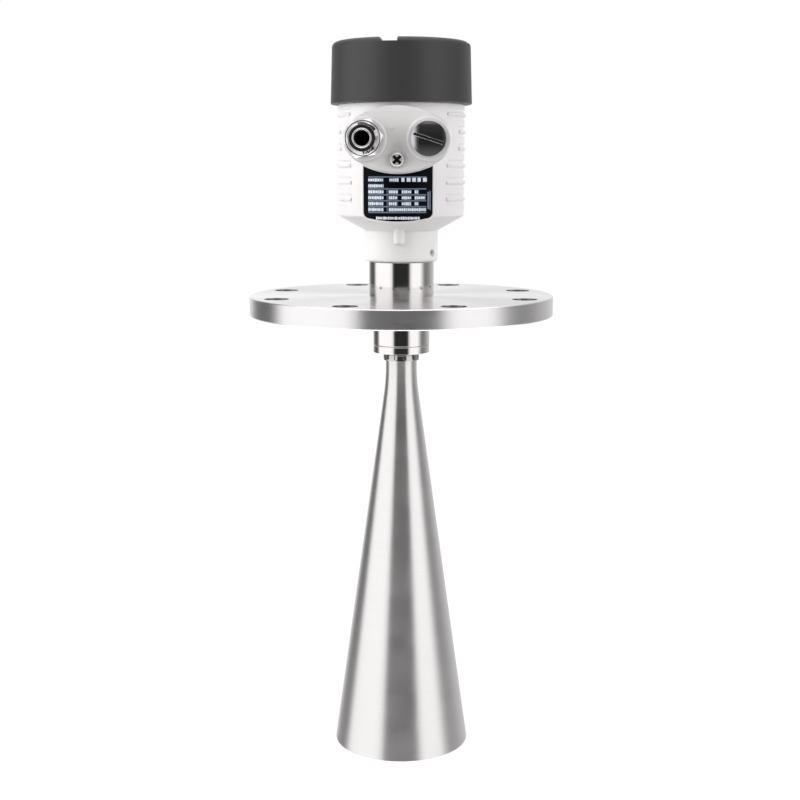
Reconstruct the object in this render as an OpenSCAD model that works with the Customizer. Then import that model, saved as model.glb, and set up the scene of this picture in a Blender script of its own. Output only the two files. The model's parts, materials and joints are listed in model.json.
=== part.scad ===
// Radar level transmitter with a horn antenna on a bolted flange.
// Frame: millimetres, +Z up. The origin is the centre of the flange's sealing face.
// The head's front, with both cable entries and the nameplate, looks along -Y.

/* [Flange] */
// Thickness of the flange plate
flange_t = 14; // [10:0.5:24]
// Diameter of the bolt circle
bolt_circle_d = 190.5; // [178:0.5:194]
// Distance from the bolt circle to the flange's edge
bolt_edge = 15.75; // [13:0.25:24]
// Number of bolt holes
bolt_count = 8; // [4:1:12]
// Diameter of each bolt hole
bolt_hole_d = 18; // [12:0.5:20]
// Turn of the bolt holes from their straddling position, in degrees
bolt_turn = 2.5; // [-10:0.5:10]
// Chamfer on the flange's outer edges
flange_chamfer = 0.6; // [0.2:0.1:2]

/* [Neck] */
// Diameter of the polished neck above the flange
neck_d = 47.6; // [45:0.2:52]
// Height of the neck between the flange and the head
neck_h = 25; // [15:1:60]
// Diameter of the spigot that the head turns on
spigot_d = 40; // [36:0.5:42]
// Diameter of the neck's foot where it is welded into the flange
foot_d = 36; // [32:0.5:40]
// Outer diameter of the waveguide tube
waveguide_d = 20; // [16:0.5:22]
// Bore of the waveguide tube
waveguide_bore_d = 10; // [6:0.5:12]
// Axial width of the retaining ring and of its groove
ring_w = 1.6; // [1.2:0.1:2.4]
// Radial depth of the retaining ring's groove
ring_groove = 1.4; // [1:0.1:2]
// How far the retaining ring stands out of the spigot
ring_out = 2.6; // [2:0.1:4]
// Cord thickness of the neck's sealing ring
neck_seal_w = 2.4; // [1.8:0.1:3]

/* [Hub and horn] */
// Diameter of the hub under the flange
hub_d = 41.7; // [38:0.1:46]
// Height of the hub
hub_h = 22.4; // [16:0.1:40]
// Height of the clamping collar under the hub, with its bevel
clamp_h = 7.5; // [6:0.1:12]
// Height of the bevel on the clamping collar
clamp_bevel = 2; // [1:0.1:3]
// Diameter of the slotted lock ring
lock_d = 26.2; // [25:0.1:32]
// Height of the lock ring
lock_h = 4; // [3:0.1:8]
// Number of slots in the lock ring
lock_slots = 12; // [6:1:16]
// Width of one slot in the lock ring
lock_slot_w = 2.2; // [1:0.1:3]
// Depth of one slot in the lock ring
lock_slot_depth = 1; // [0.4:0.1:1.2]
// Outer diameter of the horn's throat
throat_d = 23.1; // [21:0.1:24]
// Outer diameter of the horn's mouth
mouth_d = 100.8; // [70:0.2:120]
// Length of the horn below the lock ring
horn_len = 293.7; // [200:0.1:360]
// Straight length of the throat below the lock ring
throat_len = 4.5; // [2:0.5:12]
// Length over which the throat bends into the cone
blend_len = 21; // [10:1:40]
// Wall of the horn
horn_wall = 1.2; // [0.8:0.1:2]
// Length of the window cone below the lock ring
window_len = 46; // [30:1:70]
// Radius of the window cone's tip
window_tip_r = 1.5; // [0.5:0.1:3]

/* [Head] */
// Outer diameter of the head's body
body_d = 91; // [90:0.2:96]
// Height of the body's cylindrical side
body_h = 79; // [76:1:100]
// Wall of the body
body_wall = 4; // [3:0.1:5]
// Height of the cone under the body
cone_h = 10; // [6:0.5:16]
// Diameter of the head's collar round the spigot
collar_d = 53.2; // [52:0.2:60]
// Height of the collar
collar_h = 22; // [18:0.5:34]
// Thickness of the floor inside the body, above the cone
floor_t = 4; // [3:0.5:8]
// Height of the threaded rim that the cap screws on
thread_h = 16.5; // [12:0.5:20]
// How far the rim's thread is set back from the body's side
thread_back = 0.5; // [0.3:0.1:1.5]
// Number of ribs round the body
rib_count = 6; // [3:1:6]
// Pitch of the ribs
rib_pitch = 11.8; // [10:0.1:12]
// Distance from the body's top down to the first rib
rib_top = 7.4; // [6.5:0.1:9]
// Radius of a rib's round section
rib_r = 2.4; // [1.8:0.1:2.8]
// How far a rib stands proud
rib_out = 0.7; // [0.3:0.1:1.2]
// Radius of the soft groove on each side of a rib
rib_groove_r = 1.5; // [1:0.1:1.8]
// Depth of that groove
rib_groove = 0.7; // [0.4:0.05:0.9]
// Direction from the front at which the ribs start, in degrees
rib_start = 47.3; // [40:0.1:60]
// Margin with no ribs round the oval boss
rib_margin = 5.5; // [3:0.5:7]

/* [Cable entries] */
// Height of the two entries above the body's lower edge
entry_z = 54; // [50:0.5:56]
// Distance between the two entries
entry_spacing = 44; // [42:0.5:46]
// Diameter of each round entry boss
boss_d = 30.5; // [29:0.5:33]
// How far the entry bosses stand out of the body's front
boss_out = 10.5; // [6:0.5:16]
// Rounding of a boss's front edge
boss_edge = 1.2; // [0.4:0.1:2]
// Diameter of the entry thread
entry_d = 20; // [16:0.5:21]
// Width of the oval boss
oval_w = 74; // [70:1:76]
// Height of the oval boss
oval_h = 45.6; // [42:0.2:47]
// Radius of the oval's ends
oval_end_r = 17; // [15:0.5:19]
// How far the oval boss stands out of the body's front
oval_out = 4; // [2:0.5:5]
// Radius of the hollow across the oval's face
oval_dish_r = 62; // [50:1:90]
// Depth of the hollow across the oval's face
oval_dish = 2.8; // [1:0.1:3]

// Diameter of the pip on the oval's face
pip_d = 1.8; // [1:0.1:3]
// How far the pip stands out of the hollow's middle
pip_out = 1.1; // [0.9:0.1:1.5]
// Distance of the pip to the left of the middle
pip_x = 3.6; // [0:0.1:5]
// Distance of the pip above the entries
pip_rise = 7.5; // [6:0.1:9]

/* [Cable gland] */
// Width across the flats of the gland's two hexagons
gland_hex = 24; // [22:0.5:26]
// Turn of the gland's hexagons, in degrees
gland_turn = 8; // [-30:1:30]
// Thickness of the gland's fixed hexagon
gland_hex_t = 5; // [4:0.5:8]
// Length of the gland's rear thread
gland_thread = 10; // [8:0.5:14]
// Diameter of the gland's front thread
gland_front_d = 18; // [17:0.2:20]
// Length of the gland's front thread
gland_front_len = 9; // [7:0.5:12]
// Outer diameter of the rubber insert
insert_d = 14.4; // [13:0.2:15]
// Bore of the rubber insert, which the cable passes through
insert_bore_d = 10; // [6:0.2:10.4]
// Length of the rubber insert
insert_len = 9; // [7:0.5:11]
// Length of the dome nut's hexagon
nut_hex_t = 8; // [6:0.5:12]
// Length of the dome nut's round front
nut_dome_t = 8; // [6:0.5:12]
// Diameter of the dome nut's front lip
nut_lip_d = 13.2; // [12:0.1:15]
// How far the lip stands out of the nut's front face
nut_lip_t = 2.6; // [1:0.1:4]
// Width of the flat face round the lip
nut_face_w = 2.4; // [0.8:0.1:2.4]
// Hole in the dome nut's front
nut_hole_d = 10.6; // [8:0.1:11.6]
// Thickness of the sealing washers under the gland and the plug
washer_t = 1.5; // [1:0.1:2]
// Radial width of those washers
washer_w = 1.7; // [1.2:0.1:2.4]

/* [Blind plug] */
// Diameter of the plug's head
plug_d = 24; // [23:0.2:28]
// Thickness of the plug's head
plug_t = 4.2; // [3:0.1:6]
// Edge rounding of the plug's head
plug_edge = 1.4; // [0.5:0.1:2]
// Radius of the domed face of the plug's head
plug_dome_r = 42; // [30:1:90]
// Width of the driver slot in the plug
plug_slot_w = 2; // [1:0.1:3]
// Depth of the driver slot
plug_slot_depth = 1.4; // [0.6:0.1:2.4]
// Turn of the driver slot, in degrees
plug_turn = -18; // [-90:1:90]

/* [Ground terminal] */
// Distance of the ground screw below the entries
ground_drop = 14; // [12:0.5:15]
// Diameter of the ground screw's head
ground_head_d = 9.6; // [8:0.1:10.4]
// Height of the ground screw's head
ground_head_t = 3; // [2:0.1:4]
// Diameter of the ground screw's thread
ground_thread_d = 4; // [3:0.1:5]
// Length of the ground screw's thread
ground_thread_len = 6.5; // [5:0.1:7]
// Diameter of the cup washer
cup_d = 11.6; // [10.8:0.1:12.4]
// Thickness of the cup washer
cup_t = 1.2; // [0.8:0.1:1.6]

/* [Nameplate] */
// Width of the nameplate
plate_w = 48; // [40:0.5:50]
// Distance of the nameplate's lowest point below the body's lower edge
plate_drop = 2.3; // [0:0.1:3]
// Radius of the nameplate's lower edge
plate_sweep_r = 100; // [70:5:200]
// Radius of the nameplate's lower corners
plate_corner_r = 4; // [2:0.5:6]
// Thickness of the nameplate
plate_t = 0.6; // [0.4:0.1:0.8]
// Width of the lip round the nameplate
plate_lip = 1.3; // [0.8:0.1:2]
// How far the lip stands out of the body
plate_lip_out = 1.1; // [0.9:0.1:1.6]

/* [Cap] */
// Diameter of the cap's lower edge
cap_d = 101.4; // [100:0.2:108]
// Height of the cap
cap_h = 43.4; // [36:0.2:60]
// Side taper of the cap, in degrees
cap_taper = 1.7; // [0:0.1:3]
// Rounding of the cap's top edge
cap_edge = 4; // [2:0.5:6]
// Thickness of the cap's roof under its hollow
cap_roof = 5; // [3:0.5:8]
// Depth of the hollow in the cap's top, and of the notches
cap_hollow = 3; // [1:0.5:4]
// Radial width of the cap's top rim
cap_rim = 10; // [8:0.5:14]
// Number of notches in the cap's rim
notch_count = 4; // [2:1:6]
// Width of a notch
notch_w = 13.6; // [8:0.2:16]
// Slant of a notch's leading flank, as a length
notch_slant = 2.5; // [0:0.1:4]
// Turn of the notches from the front, in degrees
notch_turn = -8; // [-45:1:45]
// Thickness of the cap's gasket
gasket_t = 2; // [1.5:0.1:3]

/* [Lock] */
// Diameter of the set screw that locks the head
set_d = 5; // [4:0.1:6]
// Height of the set screw above the collar's lower edge
set_z = 6.2; // [5:0.1:8]
// Direction of the set screw from the front, in degrees
set_turn = 60; // [20:1:160]
// Diameter of the lug in front of the collar
lug_d = 7.3; // [5:0.1:9]
// Length of the lug below the collar's upper edge
lug_len = 8.5; // [5:0.1:14]
// Diameter of the sealing-wire hole in the lug
lug_hole_d = 2.6; // [1.5:0.1:3.5]

/* [Electronics] */
// Gap between the potted electronics module and the body's wall
module_gap = 2.5; // [1:0.1:6]
// Height of the module
module_h = 26; // [20:1:30]
// Thickness of the circuit board
board_t = 1.6; // [1:0.1:2.4]
// Number of terminals
terminal_count = 4; // [2:1:6]
// Pitch of the terminals
terminal_pitch = 9; // [7:0.5:10]
// Depth of the terminal block
terminal_w = 16; // [12:0.5:20]
// Height of the terminal block
terminal_h = 11; // [8:0.5:14]

/* [Clearances] */
// Running clearance of the head on its spigot, on the radius
run_gap = 0.05; // [0.02:0.01:0.1]
// Gap between parts that move past each other
move_gap = 0.3; // [0.2:0.05:0.4]
// Gap round a part that is fitted and stays
fit_gap = 0.1; // [0.05:0.05:0.15]

/* [Hidden] */
$fn = 120;

// Heights above the flange's sealing face.
z_neck_top = flange_t + neck_h;
z_collar = z_neck_top + move_gap;
z_cone = z_collar + collar_h;
z_body = z_cone + cone_h;
z_top = z_body + body_h;
z_rim = z_top + thread_h;
z_floor = z_body + floor_t;
z_ring_seat = z_cone + floor_t;
z_ring = z_ring_seat + move_gap;
z_spigot_top = z_ring + ring_w + 2 * ring_groove;
z_entry = z_body + entry_z;
z_cap = z_top + move_gap;
z_gasket = z_rim + move_gap;

// Heights under the flange.
z_hub = -hub_h;
z_clamp = z_hub - clamp_h;
z_lock = z_clamp - lock_h;
z_mouth = z_lock - horn_len;

// Radii.
flange_r = bolt_circle_d / 2 + bolt_edge;
body_r = body_d / 2;
cavity_r = body_r - body_wall;
collar_r = collar_d / 2;
spigot_r = spigot_d / 2;
waveguide_r = waveguide_d / 2;
throat_r = throat_d / 2;
thread_r = body_r - thread_back;
cap_bore_r = thread_r + move_gap;
cap_r = cap_d / 2;
cap_top_r = cap_r - cap_h * tan(cap_taper);
boss_y = body_r + boss_out;
oval_y = body_r + oval_out;
well_r = spigot_r + ring_out + 2;

// The horn's cone meets the throat's line at the middle of the bend.
z_bend = z_lock - throat_len - blend_len / 2;
horn_slope = (mouth_d / 2 - throat_r) / (z_bend - z_mouth);
horn_angle = atan(horn_slope);
bend_r = blend_len / 2 / tan(horn_angle / 2);

// Sizes shared by fitted parts.
arc_cross = 0.02;
hex_corner = 1 / cos(30);
seal_w = neck_seal_w;
seal_seat = seal_w * 0.8;
window_r = throat_r - horn_wall - fit_gap;
window_top = 8;
socket_af = set_d / 2;
set_len = collar_r - spigot_r - move_gap;
set_height = z_collar + set_z;
module_d = 2 * (cavity_r - module_gap);
module_z = z_floor + fit_gap;
post_r = 1.6;
post_head_t = 2;
board_z = module_z + module_h + fit_gap;
block_z = board_z + board_t + fit_gap;
block_l = terminal_count * terminal_pitch + 4;
ground_y = oval_y - 0.4;
cup_clear = 0.4;
ground_z = z_entry - ground_drop;
plate_in = body_r + fit_gap;
plate_z = z_body - plate_drop;

// ---- Shared shapes ----

// A disc with a rounded front edge, standing on the XY plane.
module round_disc(r, h, edge) {
    rotate_extrude() {
        square([r, h - edge]);
        square([r - edge, h]);
        translate([r - edge, h - edge]) intersection() {
            circle(edge);
            square(edge);
        }
    }
}

// A flat ring standing on the XY plane.
module flat_ring(r_out, r_in, h) {
    difference() {
        cylinder(r = r_out, h = h);
        translate([0, 0, -1]) cylinder(r = r_in, h = h + 2);
    }
}

// A ring of round section, centred on the XY plane.
module round_ring(r_mid, w) {
    rotate_extrude() translate([r_mid, 0]) circle(w / 2);
}

// A hexagonal bar with both ends turned to a slight bevel, standing on the XY plane.
module hex_bar(flats, h) {
    corner = flats / 2 * hex_corner;
    bevel = corner - flats / 2;
    intersection() {
        cylinder(r = corner, h = h, $fn = 6);
        rotate_extrude() polygon([
            [0, 0], [corner - bevel, 0], [corner, bevel / 2],
            [corner, h - bevel / 2], [corner - bevel, h], [0, h]
        ]);
    }
}

// A cross-shaped driver recess, cut downwards from the XY plane.
module cross_recess(span, w, depth) {
    for (turn = [45, 135]) rotate(turn) translate([-span / 2, -w / 2, -depth]) cube([span, w, depth + 1]);
}

// Puts a shape that stands on the XY plane onto the head's front, facing -Y.
module on_front(x, y, z) {
    translate([x, -y, z]) rotate([90, 0, 0]) children();
}

// Oval of four arcs, grown evenly by an amount. The end arcs cross the long arcs at a very fine angle.
module oval(grow = 0) {
    reach = oval_w / 2 - oval_end_r;
    rise = oval_h / 2 - oval_end_r;
    centre = (reach * reach - rise * rise) / (2 * rise);
    big = oval_h / 2 + centre;
    meet = reach * big / (big - oval_end_r) + grow * reach / (big - oval_end_r);
    for (side = [-1, 1]) translate([side * reach, 0]) circle(oval_end_r + grow + arc_cross);
    intersection() {
        translate([0, -centre]) circle(big + grow);
        translate([0, centre]) circle(big + grow);
        translate([-meet, -oval_h]) square([2 * meet, 2 * oval_h]);
    }
}

// Outline of the nameplate in the front plane, with z as the second axis, grown evenly.
module plate_outline(grow = 0) {
    half = plate_w / 2 - plate_corner_r;
    inner = plate_sweep_r - plate_corner_r;
    corner_z = plate_z + plate_sweep_r - sqrt(inner * inner - half * half);
    meet = half * (plate_sweep_r + grow) / inner;
    difference() {
        union() {
            intersection() {
                translate([0, plate_z + plate_sweep_r]) circle(plate_sweep_r + grow, $fn = 360);
                translate([-meet, plate_z - grow - 1]) square([2 * meet, z_entry - plate_z]);
            }
            for (side = [-1, 1]) translate([side * half, corner_z]) circle(plate_corner_r + grow);
            translate([-plate_w / 2 - grow, corner_z]) square([plate_w + 2 * grow, z_entry - corner_z]);
        }
        translate([0, z_entry]) oval(1 - grow);
    }
}

// Extrudes a front-plane outline from one depth to another.
module front_extrude(from, to) {
    translate([0, -from, 0]) rotate([90, 0, 0]) linear_extrude(to - from) children();
}

// ---- Fixed lower parts ----

module flange() {
    r = flange_r;
    c = flange_chamfer;
    color("silver") difference() {
        rotate_extrude() polygon([
            [foot_d / 2 + fit_gap, 0], [r - c, 0], [r, c],
            [r, flange_t - c], [r - c, flange_t], [foot_d / 2 + fit_gap, flange_t]
        ]);
        for (i = [0 : bolt_count - 1]) {
            rotate(-90 + (i + 0.5) * 360 / bolt_count + bolt_turn)
                translate([bolt_circle_d / 2, 0, -1]) cylinder(d = bolt_hole_d, h = flange_t + 2);
        }
    }
}

module neck() {
    c = 0.5;
    seal_z = z_collar + collar_h * 0.62;
    color("gainsboro") difference() {
        rotate_extrude() polygon([
            [waveguide_r + fit_gap, 0], [foot_d / 2, 0], [foot_d / 2, flange_t],
            [neck_d / 2, flange_t], [neck_d / 2, z_neck_top - c], [neck_d / 2 - c, z_neck_top],
            [spigot_r, z_neck_top], [spigot_r, z_spigot_top - c], [spigot_r - c, z_spigot_top],
            [waveguide_r + fit_gap, z_spigot_top]
        ]);
        translate([0, 0, z_ring - fit_gap])
            flat_ring(spigot_r + 1, spigot_r - ring_groove, ring_w + 2 * fit_gap);
        translate([0, 0, seal_z - seal_w / 2 - fit_gap])
            flat_ring(spigot_r + 1, spigot_r - seal_seat - fit_gap, seal_w + 2 * fit_gap);
    }
}

module neck_seal() {
    seal_z = z_collar + collar_h * 0.62;
    color("dimgray") translate([0, 0, seal_z]) intersection() {
        round_ring(spigot_r - seal_seat + seal_w / 2, seal_w);
        cylinder(r = spigot_r, h = seal_w, center = true);
    }
}

module retaining_ring() {
    color("darkgray") translate([0, 0, z_ring]) difference() {
        flat_ring(spigot_r + ring_out, spigot_r - ring_groove + fit_gap, ring_w);
        translate([-2, -spigot_r - ring_out - 1, -1]) cube([4, 2 * ring_out + 4, ring_w + 2]);
    }
}

module waveguide() {
    z_low = z_hub + window_top;
    color("goldenrod") translate([0, 0, z_low])
        flat_ring(waveguide_r, waveguide_bore_d / 2, z_spigot_top + 2 - z_low);
}

module feed_coupler() {
    color("gold") translate([0, 0, z_spigot_top + 2 + fit_gap]) {
        cylinder(r = waveguide_r, h = 3);
        translate([0, 0, -8]) cylinder(r = waveguide_bore_d / 6, h = 9);
    }
}

module hub() {
    color("gainsboro") rotate_extrude() polygon([
        [waveguide_r + fit_gap, 0], [waveguide_r + fit_gap, z_hub + window_top],
        [window_r + fit_gap, z_hub + window_top], [window_r + fit_gap, z_hub],
        [hub_d / 2 - 0.4, z_hub], [hub_d / 2, z_hub + 0.4], [hub_d / 2, 0]
    ]);
}

module clamp_collar() {
    color("gainsboro") rotate_extrude() polygon([
        [throat_r + fit_gap, z_clamp], [lock_d / 2 + 1, z_clamp],
        [hub_d / 2, z_clamp + clamp_bevel], [hub_d / 2, z_hub - 0.6],
        [hub_d / 2 - 0.4, z_hub - 0.2], [throat_r + fit_gap, z_hub - 0.2]
    ]);
}

module lock_ring() {
    color("silver") translate([0, 0, z_lock]) difference() {
        flat_ring(lock_d / 2, throat_r + fit_gap, lock_h - 0.2);
        for (i = [0 : lock_slots - 1]) {
            rotate(-90 + (i + 0.5) * 360 / lock_slots)
                translate([lock_d / 2 - lock_slot_depth, -lock_slot_w / 2, 1])
                    cube([lock_slot_depth + 1, lock_slot_w, lock_h]);
        }
    }
}

// Outer line of the horn from the lock ring down to the mouth, moved inwards by an amount.
function horn_line(inset) = concat(
    [[throat_r - inset, z_hub - 0.2]],
    [for (i = [0 : 8]) let (a = horn_angle * i / 8) [
        throat_r + bend_r * (1 - cos(a)) - inset * cos(a),
        z_lock - throat_len - bend_r * sin(a) - inset * sin(a)
    ]],
    [[mouth_d / 2 - inset / cos(horn_angle), z_mouth]]
);

function reversed(list) = [for (i = [len(list) - 1 : -1 : 0]) list[i]];

module horn() {
    color("silver") rotate_extrude() polygon(concat(horn_line(0), reversed(horn_line(horn_wall))));
}

module window_cone() {
    z_tip = z_lock - window_len;
    z_base = z_lock - throat_len;
    color("whitesmoke") difference() {
        rotate_extrude() polygon([
            [0, z_hub + window_top - fit_gap], [window_r, z_hub + window_top - fit_gap],
            [window_r, z_base], [window_tip_r, z_tip], [0, z_tip]
        ]);
        translate([0, 0, z_hub + window_top / 2 - 1])
            flat_ring(window_r + 1, window_r - 1.6, 2);
    }
}

module window_seal() {
    color("dimgray") translate([0, 0, z_hub + window_top / 2 - 0.9])
        flat_ring(window_r, window_r - 1.5, 1.8);
}

// ---- Head ----

// Blank of the body: collar, cone, cylinder and threaded rim in one turned shape.
module body_blank() {
    edge = 1;
    rotate_extrude() polygon([
        [0, z_collar], [collar_r - edge, z_collar], [collar_r, z_collar + edge],
        [collar_r, z_cone], [body_r - edge, z_body], [body_r, z_body + edge],
        [body_r, z_top], [thread_r, z_top], [thread_r, z_rim - edge],
        [thread_r - edge, z_rim], [0, z_rim]
    ]);
}

// Space inside the body: spigot bore, well for the retaining ring, and cavity.
module body_space() {
    rotate_extrude() polygon([
        [0, z_collar - 1], [spigot_r + run_gap, z_collar - 1], [spigot_r + run_gap, z_ring_seat],
        [well_r, z_ring_seat], [well_r, z_floor], [cavity_r, z_floor],
        [cavity_r, z_rim + 1], [0, z_rim + 1]
    ]);
}

// Half width of the grown oval at a height above or below its middle.
function oval_reach(dz) =
    abs(dz) < oval_end_r + rib_margin
        ? oval_w / 2 - oval_end_r + sqrt(pow(oval_end_r + rib_margin, 2) - dz * dz) : 0;

// Direction at which the rib at a height starts, clear of the oval boss.
function rib_angle(z) = max(rib_start, asin(min(0.95, oval_reach(z - z_entry) / body_r)));

// Runs a profile in the radius and height plane round the body, leaving out the front.
module rib_sweep(z) {
    start = rib_angle(z);
    translate([0, 0, z]) rotate(start - 90) rotate_extrude(angle = 360 - 2 * start) children();
}

// One rib: a round bead between two fine grooves.
module rib_bead(z) {
    rib_sweep(z) intersection() {
        translate([body_r + rib_out - rib_r, 0]) circle(rib_r);
        translate([body_r - 1, -rib_r]) square([3, 2 * rib_r]);
    }
}

module rib_grooves(z) {
    for (side = [-1, 1]) {
        rib_sweep(z) translate([body_r + rib_groove_r - rib_groove, side * rib_r]) circle(rib_groove_r);
    }
}

function rib_heights() = [for (i = [0 : rib_count - 1]) z_top - rib_top - i * rib_pitch];

module oval_boss() {
    difference() {
        translate([0, 0, z_entry]) front_extrude(body_r / 2, oval_y) oval();
        translate([0, -oval_y - oval_dish_r + oval_dish, z_entry]) rotate([0, 90, 0])
            cylinder(r = oval_dish_r, h = 2 * body_r, center = true);
    }
}

// Small moulded pip on the oval's face, between the entries.
module pip() {
    on_front(-pip_x, oval_y - oval_dish - pip_d, z_entry + pip_rise) cylinder(d = pip_d, h = pip_d + pip_out);
}

module entry_bosses() {
    for (side = [-1, 1]) on_front(side * entry_spacing / 2, body_r / 2, z_entry)
        round_disc(boss_d / 2, boss_y - body_r / 2, boss_edge);
}

module plate_pad() {
    intersection() {
        front_extrude(body_r * 0.8, body_r + 2) plate_outline(plate_lip);
        cylinder(r = body_r + plate_lip_out, h = 2 * z_top);
    }
}

module plate_pocket() {
    difference() {
        front_extrude(body_r / 2, body_r + 4) plate_outline(fit_gap);
        cylinder(r = body_r, h = 2 * z_top);
    }
}

module lug() {
    translate([0, -collar_r - lug_d / 8, z_cone - lug_len]) cylinder(d = lug_d, h = lug_len + cone_h / 2);
}

module housing() {
    color("white") difference() {
        union() {
            body_blank();
            for (z = rib_heights()) rib_bead(z);
            oval_boss();
            entry_bosses();
            pip();
            plate_pad();
            lug();
            on_front(0, body_r / 2, ground_z) round_disc(cup_d / 2 + 0.6, ground_y - body_r / 2, 0.4);
        }
        body_space();
        for (z = rib_heights()) rib_grooves(z);
        plate_pocket();
        for (side = [-1, 1]) on_front(side * entry_spacing / 2, body_r / 2, z_entry)
            cylinder(d = entry_d + 2 * fit_gap, h = boss_out + body_r);
        on_front(0, ground_y - ground_thread_len, ground_z)
            cylinder(d = ground_thread_d + 2 * move_gap, h = body_r);
        on_front(0, ground_y, ground_z) cylinder(r = cup_d / 2 + cup_clear, h = body_r);
        translate([0, -collar_r - lug_d / 8, z_cone - lug_len - 1]) cylinder(d = lug_hole_d, h = 5);
        rotate(set_turn) on_front(0, spigot_r - 1, set_height)
            cylinder(d = set_d + 2 * fit_gap, h = collar_r);
    }
}

module set_screw() {
    color("dimgray") rotate(set_turn) on_front(0, spigot_r + move_gap, set_height) difference() {
        cylinder(d = set_d, h = set_len - 0.6);
        translate([0, 0, set_len - 0.6 - set_d / 2])
            cylinder(r = socket_af / 2 * hex_corner, h = set_d, $fn = 6);
    }
}

module nameplate() {
    color([0.05, 0.06, 0.09]) difference() {
        intersection() {
            front_extrude(body_r / 2, body_r + 2) plate_outline();
            cylinder(r = plate_in + plate_t, h = 2 * z_top);
        }
        cylinder(r = plate_in, h = 2 * z_top);
    }
}

// ---- Cable gland, on the left entry ----

module gland_washer() {
    color("dimgray") on_front(-entry_spacing / 2, boss_y, z_entry)
        flat_ring(entry_d / 2 + washer_w, entry_d / 2, washer_t);
}

module gland_body() {
    mouth_r = insert_d / 2 + move_gap;
    step = washer_t + gland_hex_t;
    color("lightgray") on_front(-entry_spacing / 2, boss_y, z_entry) difference() {
        union() {
            translate([0, 0, -gland_thread]) cylinder(d = entry_d, h = gland_thread + washer_t);
            translate([0, 0, washer_t]) rotate(gland_turn) hex_bar(gland_hex, gland_hex_t);
            cylinder(d = gland_front_d, h = step + gland_front_len);
        }
        translate([0, 0, -gland_thread - 1])
            cylinder(d = insert_bore_d + 1, h = gland_thread + step + gland_front_len + 2);
        translate([0, 0, step]) cylinder(r = mouth_r, h = gland_front_len + 1);
    }
}

module gland_insert() {
    start = washer_t + gland_hex_t + move_gap;
    color("dimgray") on_front(-entry_spacing / 2, boss_y + start, z_entry)
        flat_ring(insert_d / 2, insert_bore_d / 2, insert_len);
}

module gland_nut() {
    start = washer_t + gland_hex_t + move_gap;
    bore_r = gland_front_d / 2 + move_gap;
    flats_r = gland_hex / 2;
    lip_r = nut_lip_d / 2;
    face_r = lip_r + nut_face_w;
    face_z = nut_hex_t + nut_dome_t - nut_lip_t;
    lip_z = nut_hex_t + nut_dome_t;
    edge = (lip_r - nut_hole_d / 2) / 2;
    chamfer = 0.5;
    throat_z = max(insert_len, gland_front_len) + move_gap;
    color("lightgray") on_front(-entry_spacing / 2, boss_y + start, z_entry) difference() {
        union() {
            rotate(gland_turn) hex_bar(gland_hex, nut_hex_t);
            translate([0, 0, nut_hex_t - chamfer])
                cylinder(r1 = flats_r - chamfer, r2 = face_r, h = face_z - nut_hex_t + chamfer);
            cylinder(r = lip_r, h = lip_z - edge);
            translate([0, 0, lip_z - edge]) rotate_extrude() translate([lip_r - edge, 0]) circle(edge);
        }
        translate([0, 0, -1]) cylinder(r = bore_r, h = throat_z + 1);
        cylinder(d = nut_hole_d, h = lip_z + 2);
    }
}

// ---- Blind plug, in the right entry ----

module plug_washer() {
    color("dimgray") on_front(entry_spacing / 2, boss_y + fit_gap, z_entry)
        flat_ring(entry_d / 2 + washer_w - 0.3, entry_d / 2 + fit_gap, washer_t - 2 * fit_gap);
}

module blind_plug() {
    color([0.3, 0.3, 0.33]) on_front(entry_spacing / 2, boss_y, z_entry) difference() {
        union() {
            translate([0, 0, -gland_thread]) cylinder(d = entry_d, h = gland_thread + washer_t);
            intersection() {
                translate([0, 0, washer_t]) round_disc(plug_d / 2, plug_t, plug_edge);
                translate([0, 0, washer_t + plug_t - plug_dome_r]) sphere(plug_dome_r);
            }
        }
        rotate(plug_turn) translate([-plug_d, -plug_slot_w / 2, washer_t + plug_t - plug_slot_depth])
            cube([2 * plug_d, plug_slot_w, plug_slot_depth + 1]);
    }
}

// ---- Ground terminal ----

module cup_washer() {
    color("silver") on_front(0, ground_y + fit_gap, ground_z) difference() {
        cylinder(d = cup_d, h = cup_t);
        translate([0, 0, -1]) cylinder(d = ground_thread_d + 2 * fit_gap, h = cup_t + 2);
        translate([0, 0, cup_t - 0.4]) cylinder(d = ground_head_d + 0.6, h = 1);
    }
}

module ground_screw() {
    seat = fit_gap + cup_t - 0.3;
    color("silver") on_front(0, ground_y, ground_z) difference() {
        union() {
            translate([0, 0, -ground_thread_len + 0.5])
                cylinder(d = ground_thread_d, h = ground_thread_len + seat);
            translate([0, 0, seat]) round_disc(ground_head_d / 2, ground_head_t, 1.2);
        }
        translate([0, 0, seat + ground_head_t]) cross_recess(ground_head_d * 0.76, 2.1, 1.7);
    }
}

// ---- Electronics ----

// Three round posts where the module's screws stand, from the module's foot upwards.
module module_posts(r, h) {
    for (turn = [30, 150, 270]) rotate(turn) translate([module_d / 2 - 6, 0, module_z]) cylinder(r = r, h = h);
}

module electronics_module() {
    color([0.1, 0.1, 0.12]) difference() {
        translate([0, 0, module_z]) cylinder(d = module_d, h = module_h);
        translate([0, 0, z_floor - 1]) cylinder(r = well_r, h = module_h / 3 + 1);
        translate([0, 0, module_h / 2 - fit_gap]) module_posts(post_r + fit_gap, module_h);
    }
}

module module_screws() {
    color("silver") {
        translate([0, 0, module_h / 2]) module_posts(post_r, module_h / 2 + 1);
        translate([0, 0, module_h + fit_gap / 2]) module_posts(2 * post_r, post_head_t);
    }
}

module circuit_board() {
    color("darkgreen") difference() {
        translate([0, 0, board_z]) cylinder(d = module_d - 2, h = board_t);
        module_posts(2 * post_r + move_gap, 2 * module_h);
    }
}

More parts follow.
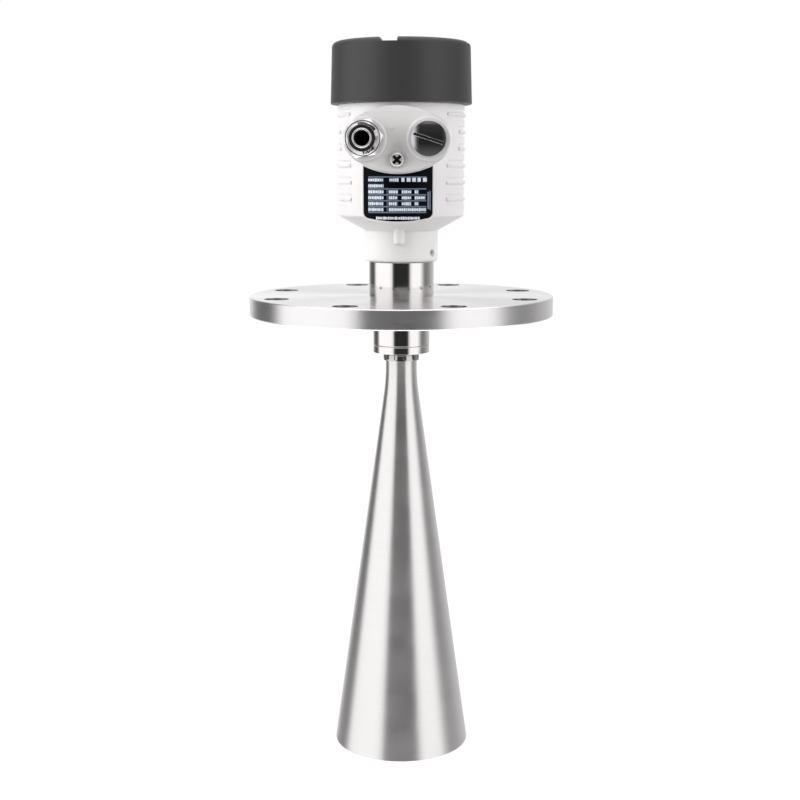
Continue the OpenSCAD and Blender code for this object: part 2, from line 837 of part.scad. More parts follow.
module terminal_block() {
    color("seagreen") translate([0, terminal_w / 4, block_z]) difference() {
        translate([-block_l / 2, -terminal_w / 2, 0]) cube([block_l, terminal_w, terminal_h]);
        for (i = [0 : terminal_count - 1]) translate([(i + 0.5) * terminal_pitch - block_l / 2 + 2, 0, 0]) {
            translate([0, 0, terminal_h - 4]) cylinder(d = 5, h = 5);
            translate([-2.5, -terminal_w / 2 - 1, 2]) cube([5, 5, terminal_h / 2]);
        }
    }
}

module terminal_screws() {
    color("silver") translate([0, terminal_w / 4, block_z]) {
        for (i = [0 : terminal_count - 1]) {
            translate([(i + 0.5) * terminal_pitch - block_l / 2 + 2, 0, terminal_h - 4 + fit_gap])
                difference() {
                    cylinder(d = 4.4, h = 2.6);
                    translate([-3, -0.4, 1.8]) cube([6, 0.8, 2]);
                }
        }
    }
}

module inner_ground_screw() {
    color("silver") rotate(225) translate([module_d / 2 - 9, 0, board_z + board_t + fit_gap])
        difference() {
            round_disc(3.6, 2.4, 0.8);
            translate([0, 0, 2.4]) cross_recess(5, 0.9, 1.2);
        }
}

// ---- Cap ----

module notch() {
    half = notch_w / 2;
    translate([0, -cap_r + cap_rim * 2, z_cap + cap_h]) rotate([90, 0, 0])
        linear_extrude(cap_rim * 3) polygon([
            [-half, 1], [-half, 0], [-half + notch_slant, -cap_hollow],
            [half, -cap_hollow], [half, 1]
        ]);
}

module cap() {
    hollow_r = cap_top_r - cap_rim;
    gasket_seat = z_gasket + gasket_t + fit_gap;
    roof_z = z_cap + cap_h - cap_hollow - cap_roof;
    side = cap_edge * tan(cap_taper);
    color([0.28, 0.28, 0.29]) difference() {
        rotate_extrude() {
            polygon([
                [0, z_cap], [cap_r - 0.6, z_cap], [cap_r, z_cap + 0.6],
                [cap_top_r + side, z_cap + cap_h - cap_edge], [0, z_cap + cap_h - cap_edge]
            ]);
            translate([0, z_cap]) square([cap_top_r + side - cap_edge, cap_h]);
            translate([cap_top_r + side - cap_edge, z_cap + cap_h - cap_edge]) circle(cap_edge);
        }
        rotate_extrude() polygon([
            [0, z_cap - 1], [cap_bore_r, z_cap - 1], [cap_bore_r, gasket_seat],
            [cavity_r, gasket_seat], [cavity_r, roof_z], [0, roof_z]
        ]);
        translate([0, 0, z_cap + cap_h - cap_hollow]) cylinder(r = hollow_r, h = cap_hollow + 1);
        for (i = [0 : notch_count - 1]) rotate(notch_turn + i * 360 / notch_count) notch();
    }
}

module cap_gasket() {
    color("dimgray") translate([0, 0, z_gasket])
        flat_ring(cap_bore_r - move_gap, cavity_r + 0.5, gasket_t);
}

// ---- Nodes ----

flange();
neck();
waveguide();
feed_coupler();
retaining_ring();
neck_seal();
hub();
clamp_collar();
lock_ring();
horn();
window_cone();
window_seal();
housing();
nameplate();
set_screw();
gland_body();
gland_washer();
electronics_module();
module_screws();
circuit_board();
terminal_block();
terminal_screws();
inner_ground_screw();
cap_gasket();
cap();
gland_insert();
gland_nut();
plug_washer();
blind_plug();
cup_washer();
ground_screw();
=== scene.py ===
"""Looks of the radar level transmitter: its finishes, its plate's print, its rim's thread and the studio round it.

Everything is in metres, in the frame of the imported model: +Z up the axis, -Y towards the head's front.
"""

import json
import math
import random

import bpy
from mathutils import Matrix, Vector


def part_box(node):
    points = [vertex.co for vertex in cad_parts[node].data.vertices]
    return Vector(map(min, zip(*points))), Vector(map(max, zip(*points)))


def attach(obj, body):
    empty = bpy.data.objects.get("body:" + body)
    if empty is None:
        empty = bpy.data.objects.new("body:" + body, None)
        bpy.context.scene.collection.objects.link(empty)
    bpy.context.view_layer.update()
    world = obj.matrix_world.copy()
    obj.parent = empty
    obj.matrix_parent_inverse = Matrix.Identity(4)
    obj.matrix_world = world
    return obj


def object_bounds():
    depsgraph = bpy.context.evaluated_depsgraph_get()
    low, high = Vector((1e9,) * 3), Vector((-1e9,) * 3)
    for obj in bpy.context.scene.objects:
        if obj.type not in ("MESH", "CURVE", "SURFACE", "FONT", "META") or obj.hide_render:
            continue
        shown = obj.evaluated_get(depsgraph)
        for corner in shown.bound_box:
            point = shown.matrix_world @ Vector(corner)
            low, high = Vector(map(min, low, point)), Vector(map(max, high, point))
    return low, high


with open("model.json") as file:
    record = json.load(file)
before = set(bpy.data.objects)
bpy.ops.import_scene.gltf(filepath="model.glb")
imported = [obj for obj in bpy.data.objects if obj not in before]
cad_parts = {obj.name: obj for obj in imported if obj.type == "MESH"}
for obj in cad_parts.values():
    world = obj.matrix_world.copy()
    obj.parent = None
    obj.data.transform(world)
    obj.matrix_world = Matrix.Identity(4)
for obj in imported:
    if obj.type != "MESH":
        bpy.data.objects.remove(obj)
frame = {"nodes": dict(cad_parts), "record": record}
cad_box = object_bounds()
NODES = frame["nodes"]
MM = 0.001


# ---- Shader building ----

def add_node(tree, kind, sockets=None, **settings):
    """A new node: settings are its own properties, sockets its inputs as values or links."""
    node = tree.nodes.new(kind)
    for name, value in settings.items():
        setattr(node, name, value)
    for name, value in (sockets or {}).items():
        if isinstance(value, bpy.types.NodeSocket):
            tree.links.new(value, node.inputs[name])
        else:
            node.inputs[name].default_value = value
    return node


def math_node(tree, operation, a, b=0.0):
    """The result of a Math node as a socket."""
    return add_node(tree, "ShaderNodeMath", {0: a, 1: b}, operation=operation).outputs[0]


def mix_colour(tree, factor, first, second):
    """A socket that goes from the first colour to the second."""
    node = add_node(tree, "ShaderNodeMix", {0: factor, 6: first, 7: second}, data_type="RGBA")
    return node.outputs[2]


def spread(tree, value, low, high):
    """A 0 to 1 socket stretched to run from low to high."""
    node = add_node(tree, "ShaderNodeMapRange", {"Value": value, "To Min": low, "To Max": high})
    return node.outputs["Result"]


def ramp(tree, value, stops):
    """A grey scale that follows (position, brightness) stops."""
    node = add_node(tree, "ShaderNodeValToRGB", {"Fac": value})
    elements = node.color_ramp.elements
    while len(elements) < len(stops):
        elements.new(0.5)
    for element, (position, brightness) in zip(elements, stops):
        element.position = position
        element.color = grey(brightness)
    return node.outputs["Color"]


def grey(value):
    """A neutral colour."""
    return (value, value, value, 1)


def scaled(colour, factor):
    """A colour made darker or paler by a factor."""
    return tuple(min(1.0, channel * factor) for channel in colour[:3]) + (1,)


def start_material(name, **sockets):
    """A material with one Principled shader, and its tree and shader."""
    material = bpy.data.materials.new(name)
    material.use_nodes = True
    tree = material.node_tree
    shader = tree.nodes["Principled BSDF"]
    for key, value in sockets.items():
        shader.inputs[key.replace("_", " ")].default_value = value
    return material, tree, shader


def noise(tree, scale, detail=2.0, vector=None):
    """A noise value at a scale in features per metre, or over a vector that has its own scale."""
    if vector is None:
        vector = add_node(tree, "ShaderNodeTexCoord").outputs["Object"]
    node = add_node(tree, "ShaderNodeTexNoise", {"Vector": vector, "Scale": scale, "Detail": detail})
    return node.outputs["Fac"]


def lathe_place(tree, centre, axis):
    """The coordinates of a turned piece as sockets: radius, place along the axis and angle."""
    place = add_node(tree, "ShaderNodeTexCoord").outputs["Object"]
    moved = add_node(tree, "ShaderNodeVectorMath", {0: place, 1: centre}, operation="SUBTRACT").outputs[0]
    x, y, z = add_node(tree, "ShaderNodeSeparateXYZ", {0: moved}).outputs
    first, second, along = (x, y, z) if axis == "Z" else (x, z, y)
    flat = add_node(tree, "ShaderNodeCombineXYZ", {0: first, 1: second}).outputs[0]
    radius = add_node(tree, "ShaderNodeVectorMath", {0: flat}, operation="LENGTH").outputs["Value"]
    return radius, along, math_node(tree, "ARCTAN2", first, second)


def relief(tree, shader, height, distance, edge=0.0):
    """Gives the shader a bump from a height socket, on edges softened by a small radius."""
    sockets = {"Height": height, "Distance": distance, "Strength": 1.0}
    if edge:
        sockets["Normal"] = add_node(tree, "ShaderNodeBevel", {"Radius": edge}, samples=4).outputs[0]
    bump = add_node(tree, "ShaderNodeBump", sockets)
    tree.links.new(bump.outputs[0], shader.inputs["Normal"])


def cover(material, share, colour):
    """Lays a colour over the material's own one, by a share that is a socket."""
    tree = material.node_tree
    base = tree.nodes["Principled BSDF"].inputs["Base Color"]
    tree.links.new(mix_colour(tree, share, base.links[0].from_socket, colour), base)


# ---- Materials ----

# The detail of the finest noise, in a lathe's lines and in a coat's grain.
FINE_DETAIL = 3.0

# Turned steel: its dull lines' tone, how far a line runs on round the axis, its patches per metre,
# what lines times patches are spread over, and how much rougher or smoother a line can be.
DULL_LINE = 0.9
LINE_RUN = 0.6
STEEL_PATCHES = 45.0
STEEL_TONES = (-0.1, 1.1)
LINE_ROUGHNESS = 0.03


def turned_steel(name, colour, rough, line, depth, centre=(0, 0, 0), axis="Z", cloud=0.04, edge=0.3 * MM,
                 stretch=0.5):
    """Steel with the fine rings that a lathe leaves; line is the width of a ring, stretch draws out its sheen."""
    material, tree, shader = start_material(name, Metallic=1.0, Anisotropic=stretch, Anisotropic_Rotation=0.25)
    tangent = add_node(tree, "ShaderNodeTangent", direction_type="RADIAL", axis=axis)
    tree.links.new(tangent.outputs[0], shader.inputs["Tangent"])
    radius, along, angle = lathe_place(tree, centre, axis)
    rings = add_node(tree, "ShaderNodeCombineXYZ", {
        0: math_node(tree, "MULTIPLY", radius, 1 / line),
        1: math_node(tree, "MULTIPLY", along, 1 / line),
        2: math_node(tree, "MULTIPLY", angle, LINE_RUN),
    }).outputs[0]
    lines = noise(tree, 1.0, FINE_DETAIL, rings)
    patches = noise(tree, STEEL_PATCHES)
    tone = spread(tree, math_node(tree, "MULTIPLY", lines, patches), *STEEL_TONES)
    tree.links.new(mix_colour(tree, tone, scaled(colour, DULL_LINE), colour), shader.inputs["Base Color"])
    rough_lines = spread(tree, lines, rough - LINE_ROUGHNESS, rough + LINE_ROUGHNESS)
    rough_patches = spread(tree, patches, -cloud, cloud)
    tree.links.new(math_node(tree, "ADD", rough_lines, rough_patches), shader.inputs["Roughness"])
    relief(tree, shader, lines, depth, edge)
    return material


# A screw's recess: its radius as a share of the screw's width, and the tone of the shade painted into it.
RECESS_RADIUS = 0.39
RECESS_SHADE_TONE = 0.03


def paint_recess_shade(material, node, depth):
    """Paints shade into the driver's recess in a screw that looks along -Y: what lies deeper than a depth, within
    its rim.
    """
    low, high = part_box(node)
    tree = material.node_tree
    centre = ((low.x + high.x) / 2, low.y, (low.z + high.z) / 2)
    radius, inward, _ = lathe_place(tree, centre, "Y")
    inside = math_node(tree, "LESS_THAN", radius, (high.x - low.x) * RECESS_RADIUS)
    deep = add_node(tree, "ShaderNodeMapRange", {"Value": inward, "From Min": 0.0, "From Max": depth})
    # Painted shade: within the rim, the base colour darkens towards the recess's depth.
    cover(material, math_node(tree, "MULTIPLY", inside, deep.outputs["Result"]), grey(RECESS_SHADE_TONE))
    return material


# A plate's upright faces further in than this margin are drilled holes; how far painted shade darkens them, and to
# what tone.
RIM_MARGIN = 3 * MM
HOLE_SHADE = 0.55
HOLE_SHADE_TONE = 0.06


def soften_rim_and_shade_holes(material, rough, stretch, rim_radius):
    """Gives the upright faces of a turned plate a softer finish than its flat faces, and paints shade into its
    drilled holes.
    """
    tree = material.node_tree
    shader = tree.nodes["Principled BSDF"]
    normal = add_node(tree, "ShaderNodeNewGeometry").outputs["True Normal"]
    flat = math_node(tree, "ABSOLUTE", add_node(tree, "ShaderNodeSeparateXYZ", {0: normal}).outputs[2])
    own_rough = shader.inputs["Roughness"].links[0].from_socket
    rim_rough = math_node(tree, "ADD", own_rough, spread(tree, flat, rough, 0.0))
    tree.links.new(rim_rough, shader.inputs["Roughness"])
    own_stretch = shader.inputs["Anisotropic"].default_value
    tree.links.new(spread(tree, flat, stretch, own_stretch), shader.inputs["Anisotropic"])
    radius, _, _ = lathe_place(tree, (0, 0, 0), "Z")
    inner = math_node(tree, "LESS_THAN", radius, rim_radius - RIM_MARGIN)
    # Painted shade: the upright walls of the drilled holes darken in the base colour.
    cover(material, math_node(tree, "MULTIPLY", inner, spread(tree, flat, HOLE_SHADE, 0.0)), grey(HOLE_SHADE_TONE))
    return material


# Powder coating: its pale and dark tones, patches per metre, what grain times patches are spread over,
# and how much the roughness varies.
COAT_PALE, COAT_DARK = 1.03, 0.95
COAT_PATCHES = 30.0
COAT_TONES = (-0.2, 1.8)
COAT_ROUGHNESS = 0.05


def powder_coat(name, colour, rough, grain, depth, edge, specular=0.5):
    """Powder coating: a fine orange peel, with very slight unevenness of tone."""
    material, tree, shader = start_material(name, Specular_IOR_Level=specular)
    fine = noise(tree, 1 / grain, FINE_DETAIL)
    tone = spread(tree, math_node(tree, "MULTIPLY", fine, noise(tree, COAT_PATCHES)), *COAT_TONES)
    dark, pale = scaled(colour, COAT_DARK), scaled(colour, COAT_PALE)
    tree.links.new(mix_colour(tree, tone, dark, pale), shader.inputs["Base Color"])
    rough_grain = spread(tree, fine, rough - COAT_ROUGHNESS, rough + COAT_ROUGHNESS)
    tree.links.new(rough_grain, shader.inputs["Roughness"])
    relief(tree, shader, fine, depth, edge)
    return material


# Moulded pieces: their dark tone, how much the roughness varies, and the depth of their grain.
MOULD_DARK = 0.85
MOULD_ROUGHNESS = 0.06
MOULD_DEPTH = 0.02 * MM


def moulded(name, colour, rough, grain=0.5 * MM):
    """Moulded plastic or rubber with a fine matt grain."""
    material, tree, shader = start_material(name)
    fine = noise(tree, 1 / grain)
    tree.links.new(mix_colour(tree, fine, scaled(colour, MOULD_DARK), colour), shader.inputs["Base Color"])
    rough_grain = spread(tree, fine, rough - MOULD_ROUGHNESS, rough + MOULD_ROUGHNESS)
    tree.links.new(rough_grain, shader.inputs["Roughness"])
    relief(tree, shader, fine, MOULD_DEPTH)
    return material


gland_axis = (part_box("gland_nut")[0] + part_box("gland_nut")[1]) / 2
plug_axis = (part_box("blind_plug")[0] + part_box("blind_plug")[1]) / 2
screw_axis = (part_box("ground_screw")[0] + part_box("ground_screw")[1]) / 2

MATERIALS = {
    # The flange's drilled holes get painted shade.
    "flange_steel": soften_rim_and_shade_holes(
        turned_steel("flange steel", (0.88, 0.86, 0.865, 1), rough=0.20, line=0.6 * MM, depth=0.005 * MM,
                     edge=0.5 * MM, stretch=0.95),
        rough=0.09, stretch=0.78, rim_radius=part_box("flange")[1].x),
    "polished_steel": turned_steel(
        "polished steel", (0.86, 0.835, 0.83, 1), rough=0.06, line=0.4 * MM, depth=0.002 * MM),
    "lock_steel": turned_steel(
        "lock ring steel", (0.6, 0.58, 0.57, 1), rough=0.18, line=0.4 * MM, depth=0.004 * MM),
    "horn_steel": turned_steel(
        "horn steel", (0.86, 0.84, 0.835, 1), rough=0.32, line=0.8 * MM, depth=0.005 * MM, cloud=0.05,
        stretch=0.84),
    "spring_steel": turned_steel(
        "spring steel", (0.3, 0.3, 0.31, 1), rough=0.35, line=0.4 * MM, depth=0.004 * MM),
    # The ground screw's recess gets painted shade.
    "screw_steel": paint_recess_shade(
        turned_steel("screw steel", (0.95, 0.93, 0.92, 1), rough=0.5, line=1.0 * MM, depth=0.0,
                     centre=screw_axis, axis="Y", cloud=0.02, stretch=0.0),
        "ground_screw", depth=1.0 * MM),
    "set_screw_steel": turned_steel(
        "set screw", (0.95, 0.94, 0.94, 1), rough=0.7, line=0.3 * MM, depth=0.003 * MM, stretch=0.0),
    "nickel": turned_steel(
        "nickel", (0.84, 0.83, 0.83, 1), rough=0.05, line=0.4 * MM, depth=0.001 * MM,
        centre=gland_axis, axis="Y", cloud=0.0, edge=0.15 * MM, stretch=0.0),
    "plug_nickel": turned_steel(
        "plug nickel", (0.66, 0.65, 0.68, 1), rough=0.06, line=0.4 * MM, depth=0.001 * MM,
        centre=plug_axis, axis="Y", cloud=0.02, stretch=0.0),
    "brass": turned_steel("brass", (0.83, 0.62, 0.27, 1), rough=0.2, line=0.4 * MM, depth=0.004 * MM),
    "seal_rubber": moulded("seal rubber", (0.022, 0.022, 0.024, 1), rough=0.55),
    "window_plastic": moulded("window plastic", (0.86, 0.85, 0.82, 1), rough=0.4),
    "white_coat": powder_coat(
        "white coat", (0.865, 0.845, 0.845, 1), rough=0.38, grain=0.7 * MM, depth=0.02 * MM, edge=1.2 * MM),
    "cap_coat": powder_coat(
        "cap coat", (0.040, 0.040, 0.041, 1), rough=0.45, grain=0.45 * MM, depth=0.035 * MM, edge=0.7 * MM),
    "plate_black": powder_coat(
        "plate black", (0.002, 0.003, 0.006, 1), rough=0.4, grain=0.5 * MM, depth=0.003 * MM, edge=0.0,
        specular=0.05),
    "module_plastic": moulded("module plastic", (0.025, 0.025, 0.028, 1), rough=0.5),
    "board_green": moulded("board green", (0.01, 0.09, 0.035, 1), rough=0.3, grain=1.5 * MM),
    "terminal_green": moulded("terminal green", (0.02, 0.22, 0.08, 1), rough=0.42),
}


def dress_nodes():
    """Gives each CAD node the material of its slot."""
    for part in frame["record"]["subparts"]:
        node = NODES[part["node"]]
        node.data.materials.clear()
        node.data.materials.append(MATERIALS[part["material_slot"]])


# ---- Added pieces ----

def mesh_piece(name, points, faces, material, body):
    """A mesh object that rides on a body and takes the material it is given."""
    mesh = bpy.data.meshes.new(name)
    mesh.from_pydata(points, [], faces)
    mesh.validate()
    mesh.materials.append(material)
    piece = bpy.data.objects.new(name, mesh)
    bpy.context.scene.collection.objects.link(piece)
    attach(piece, body)
    return piece


# The plate's print, in millimetres from the plate's left edge and its foot.
# The longest flat stretch of a field, and the widths, gaps and cuts of the blocks that stand for letters.
STRETCH = 2
BLOCK_WIDTHS = (0.7, 1.5)
BLOCK_GAPS = (0.22, 0.4)
BLOCK_CUTS = (0.0, 0.3)
SHORTEST_BLOCK = 0.5
PRINT_SEED = 7
# How many times the ink's tone wavers in a metre.
INK_GRAIN = 700.0

# Rows of the table, from the lowest up.
FIRST_ROW_Z = 7.0
ROW_PITCH = 4.07
ROW_HEIGHT = 2.3
LABEL_X, LABEL_W = 3.4, 10.8
VALUE_X = 18.0
SHORT_ROW = [(0.0, 6.2), (9.0, 6.4), (17.9, 2.6)]
LONG_ROW = [(0.0, 6.2), (9.0, 6.4), (17.9, 7.4)]
# The fields right of each row's label: place from VALUE_X, and width.
VALUE_ROWS = [[(0.0, 25.6)], SHORT_ROW, LONG_ROW, SHORT_ROW, [], [(0.4, 6.4)]]
# How far a field's faint ground reaches past it.
GROUND_X, GROUND_Z = 0.2, 0.3

# The five boxes in the top row.
BOX_X, BOX_PITCH = 26.7, 3.7
BOX_WIDTHS = (2.2, 2.6, 2.6, 2.2, 2.6)
BOX_DROP, BOX_RISE = 0.1, 0.5

# The foot line, the table's lines, its divider and the column at the right.
FOOT_X, FOOT_Z, FOOT_W, FOOT_H = 8.9, 1.2, 31.0, 2.1
TABLE_W = 40.4
LINE_DROP, LINE_H = 1.25, 0.75
LINED_ROWS = (0, 1, 2, 3, 4, 6)
DIVIDER_GAP, DIVIDER_DROP, DIVIDER_W, DIVIDER_ROWS = 1.5, 1, 0.5, 4.2
COLUMN_X, COLUMN_DROP, COLUMN_W, COLUMN_ROWS = 44.6, 0.9, 2.2, 4.1


class Print:
    """Thin raised fields on the plate's curved face."""

    def __init__(self, lift):
        self.lift = lift
        low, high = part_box("nameplate")
        self.left, self.foot = low.x, low.z
        self.radius = -low.y
        self.points, self.faces = [], []

    def bar(self, x, z, width, height):
        """One field, split so that it follows the curve."""
        steps = max(1, math.ceil(width / STRETCH))
        for i in range(steps):
            self.patch(x + width * i / steps, z, width / steps, height)

    def patch(self, x, z, width, height):
        """One stretch of a field: a low block without its back."""
        first = len(self.points)
        for depth in (0, self.lift):
            for dx, dz in ((0, 0), (width, 0), (width, height), (0, height)):
                px = self.left + (x + dx) * MM
                py = -math.sqrt((self.radius + depth) ** 2 - px * px)
                self.points.append((px, py, self.foot + (z + dz) * MM))
        for side in ((4, 5, 6, 7), (0, 1, 5, 4), (1, 2, 6, 5), (2, 3, 7, 6), (3, 0, 4, 7)):
            self.faces.append([first + k for k in side])

    def blocks(self, x, z, width, height):
        """A run of small blocks that reads as print from a step away."""
        end = x + width
        while x < end - SHORTEST_BLOCK:
            size = min(random.uniform(*BLOCK_WIDTHS), end - x)
            cut = random.uniform(*BLOCK_CUTS) * height
            self.bar(x, z + cut / 2, size, height - cut)
            x += size + random.uniform(*BLOCK_GAPS)

    def piece(self, name, ink):
        """The fields as one mesh on the plate."""
        return mesh_piece(name, self.points, self.faces, ink, "head")


def print_ink(name, low, high):
    """Matt print whose tone wavers a little between two colours."""
    material, tree, shader = start_material(name, Roughness=0.5)
    tone = noise(tree, INK_GRAIN)
    tree.links.new(mix_colour(tree, tone, low, high), shader.inputs["Base Color"])
    return material


def plate_print():
    """A table of plain fields on a faint ground, a foot line and a column at the right."""
    pale, lines, faint = Print(0.04 * MM), Print(0.025 * MM), Print(0.015 * MM)
    random.seed(PRINT_SEED)
    for row, values in enumerate(VALUE_ROWS):
        z = FIRST_ROW_Z + row * ROW_PITCH
        for x, width in [(LABEL_X, LABEL_W)] + [(VALUE_X + start, width) for start, width in values]:
            pale.blocks(x, z, width, ROW_HEIGHT)
            faint.bar(x - GROUND_X, z - GROUND_Z, width + 2 * GROUND_X, ROW_HEIGHT + 2 * GROUND_Z)
    for i, width in enumerate(BOX_WIDTHS):
        pale.bar(BOX_X + i * BOX_PITCH, z - BOX_DROP, width, ROW_HEIGHT + BOX_RISE)
    pale.blocks(FOOT_X, FOOT_Z, FOOT_W, FOOT_H)
    for row in LINED_ROWS:
        lines.bar(LABEL_X, FIRST_ROW_Z - LINE_DROP + row * ROW_PITCH, TABLE_W, LINE_H)
    lines.bar(VALUE_X - DIVIDER_GAP, FIRST_ROW_Z - DIVIDER_DROP, DIVIDER_W, DIVIDER_ROWS * ROW_PITCH)
    lines.blocks(COLUMN_X, FIRST_ROW_Z - COLUMN_DROP, COLUMN_W, COLUMN_ROWS * ROW_PITCH)
    pale.piece("plate_print", print_ink("pale print", (0.70, 0.78, 0.88, 1), (0.88, 0.93, 0.97, 1)))
    lines.piece("plate_lines", print_ink("soft print", (0.11, 0.14, 0.20, 1), (0.20, 0.25, 0.34, 1)))
    faint.piece("plate_fields", print_ink("faint print", (0.03, 0.045, 0.075, 1), (0.09, 0.12, 0.18, 1)))


# The thread on the housing's rim, which the cap hides while it is closed.
RIM_RADIUS = 45.0 * MM
RIM_HEIGHT = 16.5 * MM
THREAD_PITCH = 3 * MM
THREAD_DEPTH = 0.2 * MM
# How deep its foot sinks in, half its width in pitches, its steps round a turn, and its run-outs to a turn.
THREAD_ROOT = 0.05 * MM
THREAD_HALF = 0.3
THREAD_STEPS = 72
RUN_OUTS = 4


def thread(name, radius, low, high, material, body):
    """A helical ridge of triangular section round the Z axis."""
    count = int(THREAD_STEPS * ((high - low) / THREAD_PITCH - 1))
    points, faces = [], []
    for i in range(count + 1):
        angle = 2 * math.pi * i / THREAD_STEPS
        z = low + THREAD_PITCH * (i / THREAD_STEPS + 0.5)
        fade = min(1.0, i / THREAD_STEPS * RUN_OUTS, (count - i) / THREAD_STEPS * RUN_OUTS)
        for rise, dz in ((-THREAD_ROOT, -THREAD_HALF), (THREAD_DEPTH * fade, 0.0), (-THREAD_ROOT, THREAD_HALF)):
            reach = radius + rise
            points.append((reach * math.sin(angle), -reach * math.cos(angle), z + dz * THREAD_PITCH))
        if i:
            a, b = 3 * (i - 1), 3 * i
            faces += [(a, b, b + 1, a + 1), (a + 1, b + 1, b + 2, a + 2), (a + 2, b + 2, b, a)]
    faces += [(0, 1, 2), (3 * count + 2, 3 * count + 1, 3 * count)]
    return mesh_piece(name, points, faces, material, body)


# ---- Studio ----

# The look of the studio in a mirror: degrees from the front, to the right, and brightness.
STUDIO = [
    (-180, 0.88), (-165, 1.0), (-150, 0.75), (-140, 0.32), (-130, 0.14), (-112, 0.10), (-105, 0.35), (-99, 0.9),
    (-94, 1.25), (-40, 1.25), (-31, 1.0), (-25, 0.14), (-20, 0.027), (24, 0.027), (30, 0.10), (36, 0.85),
    (44, 1.22), (72, 1.22), (80, 0.9), (87, 0.5), (95, 0.25), (104, 0.24), (114, 0.30), (122, 0.38),
    (132, 0.50), (142, 0.56), (155, 0.66), (170, 0.80), (180, 0.88),
]
# How dim the table's edge is in front, and how far it hides the soft boxes: degrees above the horizon, and share.
TABLE_EDGE = [(-180, 0.6), (-42, 0.7), (-28, 0.10), (28, 0.10), (42, 0.6), (180, 0.6)]
TABLE_SHARE = [(-90, 1.0), (-32, 1.0), (-20, 0.45), (-10, 0.0), (90, 0.0)]
# How far the bright ceiling, and the bright table below, take over from all that, and how bright they are.
CEILING = [
    (-90, 1.0), (-46, 1.0), (-38, 0.5), (-31, 0.04), (-6, 0.0), (4, 0.0), (26, 0.02),
    (36, 0.3), (49, 0.85), (60, 1.0), (90, 1.0),
]
CEILING_LEVEL = [(-90, 2.1), (-44, 2.1), (-34, 1.4), (20, 1.3), (42, 1.3), (56, 1.8), (90, 1.9)]
# The light on matt surfaces round the object: strong from both sides, most from the left, and dim in front.
AMBIENT = [
    (-180, 1.0), (-120, 1.3), (-100, 3.2), (-45, 3.2), (-28, 0.1), (28, 0.1), (45, 2.45), (95, 2.35), (115, 1.0),
    (180, 1.0),
]
# How far the light from overhead takes over from it, and how bright that is.
OVERHEAD = [(-90, 0.0), (25, 0.0), (60, 1.0), (90, 1.0)]
OVERHEAD_LEVEL = 0.4


def sky(tree, stops, half_turn, value):
    """A ramp over an angle in radians that runs from minus to plus the half turn in degrees."""
    place = math_node(tree, "ADD", math_node(tree, "DIVIDE", value, 2 * math.radians(half_turn)), 0.5)
    return ramp(tree, place, [((degrees / half_turn + 1) / 2, level) for degrees, level in stops])


def build_world():
    """White to the camera, a soft pale light on the object, and a studio of soft boxes in its reflections."""
    world = bpy.data.worlds.new("studio")
    bpy.context.scene.world = world
    world.use_nodes = True
    tree = world.node_tree
    background = tree.nodes["Background"]
    direction = add_node(tree, "ShaderNodeTexCoord").outputs["Generated"]
    x, y, z = add_node(tree, "ShaderNodeSeparateXYZ", {0: direction}).outputs
    front = math_node(tree, "MULTIPLY", y, -1.0)
    around = math_node(tree, "ARCTAN2", x, front)
    height = math_node(tree, "ARCSINE", z)
    studio = mix_colour(
        tree, sky(tree, TABLE_SHARE, 90, height), sky(tree, STUDIO, 180, around), sky(tree, TABLE_EDGE, 180, around))
    studio = mix_colour(tree, sky(tree, CEILING, 90, height), studio, sky(tree, CEILING_LEVEL, 90, height))
    ambient = mix_colour(
        tree, sky(tree, OVERHEAD, 90, height), sky(tree, AMBIENT, 180, around), grey(OVERHEAD_LEVEL))
    path = add_node(tree, "ShaderNodeLightPath").outputs
    seen = mix_colour(tree, path["Is Glossy Ray"], ambient, studio)
    clear = math_node(tree, "MAXIMUM", path["Is Camera Ray"], path["Is Transmission Ray"])
    tree.links.new(mix_colour(tree, clear, seen, grey(1.0)), background.inputs["Color"])


# The floor: half its width, the light it sends up to the object, and to the camera its glow and its matt tone.
FLOOR_REACH = 4.0
TABLE_LIGHT = 0.55
FLOOR_GLOW = 0.78
FLOOR_TONE = 0.3


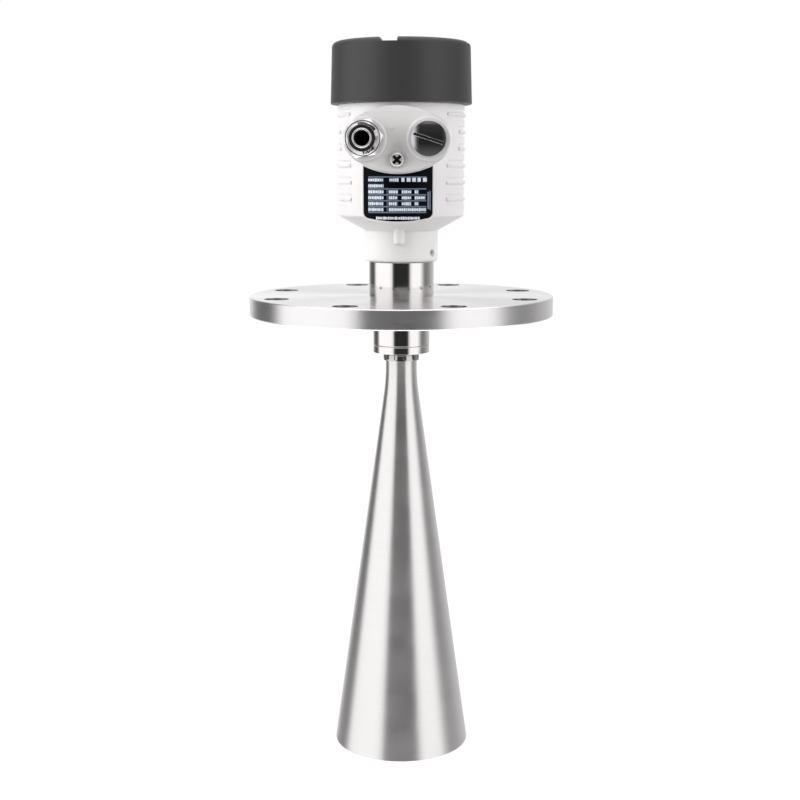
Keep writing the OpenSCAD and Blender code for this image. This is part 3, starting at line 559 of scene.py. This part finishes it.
def build_floor():
    """A pale floor that keeps the object's shadow and otherwise melts into the background."""
    mesh = bpy.data.meshes.new("floor")
    square = ((-1, -1), (1, -1), (1, 1), (-1, 1))
    points = [(x * FLOOR_REACH, y * FLOOR_REACH, cad_box[0][2]) for x, y in square]
    mesh.from_pydata(points, [], [(0, 1, 2, 3)])
    floor = bpy.data.objects.new("floor", mesh)
    bpy.context.scene.collection.objects.link(floor)
    floor.visible_glossy = False
    material, tree, _ = start_material("floor")
    bounce = add_node(tree, "ShaderNodeEmission", {"Color": grey(1.0), "Strength": TABLE_LIGHT}).outputs[0]
    glow = add_node(tree, "ShaderNodeEmission", {"Color": grey(1.0), "Strength": FLOOR_GLOW}).outputs[0]
    matt = add_node(tree, "ShaderNodeBsdfDiffuse", {"Color": grey(FLOOR_TONE)}).outputs[0]
    shown = add_node(tree, "ShaderNodeAddShader", {0: glow, 1: matt}).outputs[0]
    to_camera = add_node(tree, "ShaderNodeLightPath").outputs["Is Camera Ray"]
    mixed = add_node(tree, "ShaderNodeMixShader", {0: to_camera, 1: bounce, 2: shown})
    tree.links.new(mixed.outputs[0], tree.nodes["Material Output"].inputs["Surface"])
    mesh.materials.append(material)


KEY_PLACE = (-1.0, -1.0, 1.0)
KEY_SIZE = 0.9
KEY_POWER = 2.2


def build_lamp():
    """One large soft lamp, up in front on the left, that looks at the flange's middle."""
    data = bpy.data.lights.new("key", "AREA")
    data.shape = "SQUARE"
    data.size = KEY_SIZE
    data.energy = KEY_POWER
    key = bpy.data.objects.new("key", data)
    bpy.context.scene.collection.objects.link(key)
    key.location = KEY_PLACE
    key.visible_glossy = False
    key.rotation_euler = (-Vector(KEY_PLACE)).to_track_quat("-Z", "Y").to_euler()


# The photo's camera, as fitted to the flange's holes and rims. It looks at AXIS_OFFSET, a hair left of the axis.
CAMERA_PLACE = (0.0572, -0.9915, 0.1029)
CAMERA_PITCH = math.radians(9.57)
CAMERA_LENS = 60.84
SENSOR_WIDTH = 36.0
AXIS_OFFSET = -0.95 * MM


def build_camera():
    """A level camera at the front, a little right of the axis, looking slightly down."""
    data = bpy.data.cameras.new("camera")
    data.lens = CAMERA_LENS
    data.sensor_width = SENSOR_WIDTH
    camera = bpy.data.objects.new("camera", data)
    bpy.context.scene.collection.objects.link(camera)
    camera.location = CAMERA_PLACE
    yaw = math.atan2(CAMERA_PLACE[0] - AXIS_OFFSET, -CAMERA_PLACE[1])
    camera.rotation_euler = (math.pi / 2 - CAMERA_PITCH, 0, yaw)
    bpy.context.scene.camera = camera


def set_view():
    """Plain colour handling, so that a colour renders as it is written."""
    bpy.context.scene.view_settings.view_transform = "Standard"


def main():
    """Sets up the studio, dresses the CAD nodes, and adds the plate's print and the rim's thread."""
    build_camera()
    build_world()
    build_floor()
    build_lamp()
    set_view()
    dress_nodes()
    plate_print()
    rim_low, rim_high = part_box("housing")[1].z - RIM_HEIGHT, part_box("housing")[1].z
    thread("rim_thread", RIM_RADIUS, rim_low, rim_high, MATERIALS["white_coat"], "head")


main()
